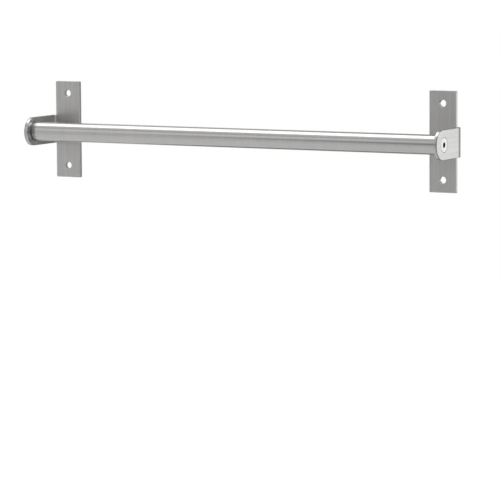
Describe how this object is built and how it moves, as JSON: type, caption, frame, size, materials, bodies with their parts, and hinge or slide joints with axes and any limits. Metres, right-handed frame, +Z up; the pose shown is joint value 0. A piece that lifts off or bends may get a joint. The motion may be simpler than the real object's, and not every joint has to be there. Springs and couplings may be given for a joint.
{
  "type": "kitchen utensil rail",
  "caption": "Wall-mounted steel rail for hanging utensils: a round tube held between the arms of folded sheet brackets with screw holes.",
  "frame": {"origin": "on the wall plane, midway between the four wall holes", "axes": "+X along the rail, +Y into the wall, +Z up; the brackets' backs lie at Y = 0 and the rail stands out towards -Y"},
  "size_m": [0.53, 0.066, 0.113],
  "materials": {
    "tube_steel": "satin, fine grain round the tube",
    "bracket_steel": "brushed, grain up and down the plate and along the arm",
    "plug_steel": "plain turned",
    "screw_steel": "smooth, bright"
  },
  "bodies": {
    "root": {"rail_tube": "tube_steel", "left_bracket": "bracket_steel", "right_bracket": "bracket_steel", "left_end_plug": "plug_steel", "right_end_plug": "plug_steel", "left_end_screw": "screw_steel", "right_end_screw": "screw_steel"}
  },
  "joints": []
}
